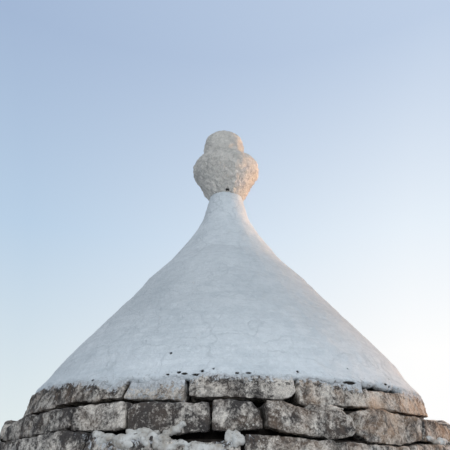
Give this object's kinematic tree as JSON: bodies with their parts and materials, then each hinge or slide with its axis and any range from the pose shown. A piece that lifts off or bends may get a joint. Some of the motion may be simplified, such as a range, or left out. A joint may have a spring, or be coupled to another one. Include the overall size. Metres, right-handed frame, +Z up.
{
  "type": "trullo house",
  "caption": "Round dry-stone trullo house with a corbelled dome under a limewashed cone, eaves courses of large stones, a bowl-and-ball pinnacle and a low doorway.",
  "frame": {"origin": "on the ground at the vertical axis of the round wall", "axes": "+Z up along the axis of the cone; the doorway faces +X; -Y is the side that the picture looks at"},
  "size_m": [4.2999, 4.2999, 5.49],
  "materials": {
    "limewash": "matte",
    "eaves_stone": "matte",
    "wall_stone": "matte",
    "dome_stone": "matte",
    "dressed_stone": "matte",
    "floor_flags": "matte",
    "timber": "matte",
    "iron": "matte"
  },
  "bodies": {
    "root": {"floor": "floor_flags", "wall_back_right": "wall_stone", "wall_back": "wall_stone", "wall_back_left": "wall_stone", "wall_left": "wall_stone", "wall_front_left": "wall_stone", "wall_front": "wall_stone", "wall_front_right": "wall_stone", "threshold": "dressed_stone", "door_jambs": "dressed_stone", "outer_lintel": "dressed_stone", "inner_lintel": "dressed_stone", "door_frame": "timber", "door_leaf": "timber", "door_hinges": "iron", "lower_course_back_right": "eaves_stone", "lower_course_back": "eaves_stone", "lower_course_back_left": "eaves_stone", "lower_course_left": "eaves_stone", "lower_course_front_left": "eaves_stone", "lower_course_front": "eaves_stone", "lower_course_front_right": "eaves_stone", "upper_course_right": "eaves_stone", "upper_course_back_right": "eaves_stone", "upper_course_back": "eaves_stone", "upper_course_back_left": "eaves_stone", "upper_course_left": "eaves_stone", "upper_course_front_left": "eaves_stone", "upper_course_front": "eaves_stone", "upper_course_front_right": "eaves_stone", "dome_lower": "dome_stone", "dome_middle": "dome_stone", "dome_upper": "dome_stone", "dome_cap": "dome_stone", "roof_right": "limewash", "roof_back_right": "limewash", "roof_back": "limewash", "roof_back_left": "limewash", "roof_left": "limewash", "roof_front_left": "limewash", "roof_front": "limewash", "roof_front_right": "limewash", "roof_peak": "limewash", "pinnacle_bowl": "limewash", "pinnacle_ball": "limewash"}
  },
  "joints": []
}
